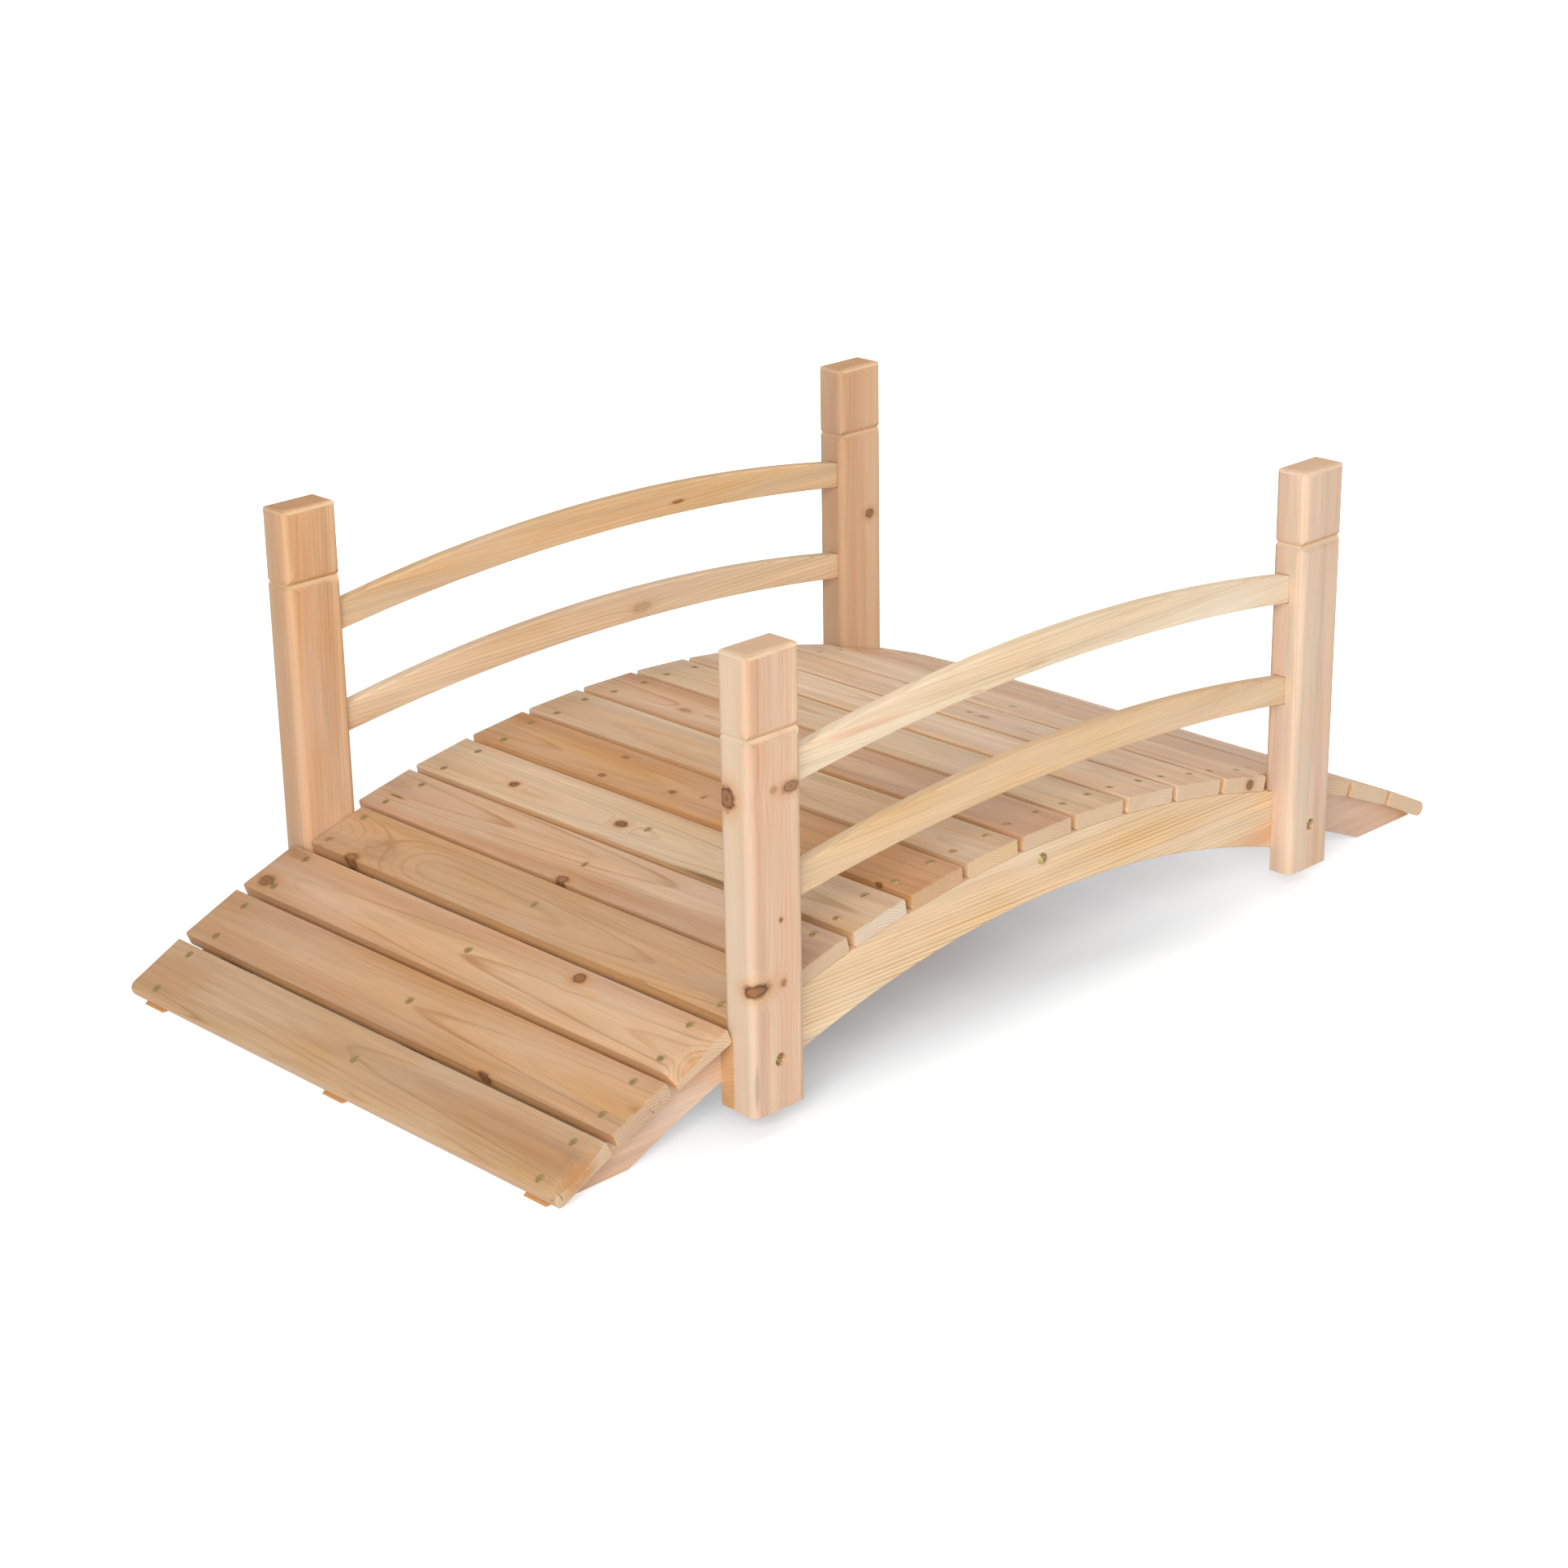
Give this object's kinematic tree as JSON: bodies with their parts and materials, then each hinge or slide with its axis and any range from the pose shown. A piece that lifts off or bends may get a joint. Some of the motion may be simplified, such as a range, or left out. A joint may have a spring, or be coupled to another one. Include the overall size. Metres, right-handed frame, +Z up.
{
  "type": "garden bridge",
  "caption": "Small arched wooden garden bridge: curved deck of crosswise boards, grooved corner posts and two curved rails on each side.",
  "frame": {"origin": "on the ground under the middle of the deck's crest", "axes": "+X along the walkway toward the rear end, +Y across the walkway to the left side, +Z up"},
  "size_m": [1.2122, 0.658, 0.435],
  "materials": {
    "deck_wood": "planed, untreated",
    "stringer_wood": "sawn, untreated",
    "rail_wood": "planed, untreated",
    "post_wood": "planed, untreated"
  },
  "bodies": {
    "root": {"deck_board_01": "deck_wood", "deck_board_02": "deck_wood", "deck_board_03": "deck_wood", "deck_board_04": "deck_wood", "deck_board_05": "deck_wood", "deck_board_06": "deck_wood", "deck_board_07": "deck_wood", "deck_board_08": "deck_wood", "deck_board_09": "deck_wood", "deck_board_10": "deck_wood", "deck_board_11": "deck_wood", "deck_board_12": "deck_wood", "deck_board_13": "deck_wood", "deck_board_14": "deck_wood", "deck_board_15": "deck_wood", "deck_board_16": "deck_wood", "deck_board_17": "deck_wood", "left_stringer": "stringer_wood", "middle_stringer": "stringer_wood", "right_stringer": "stringer_wood", "left_arch_board": "rail_wood", "right_arch_board": "rail_wood", "left_upper_rail": "rail_wood", "left_lower_rail": "rail_wood", "right_upper_rail": "rail_wood", "right_lower_rail": "rail_wood", "front_left_post": "post_wood", "front_right_post": "post_wood", "rear_left_post": "post_wood", "rear_right_post": "post_wood"}
  },
  "joints": []
}
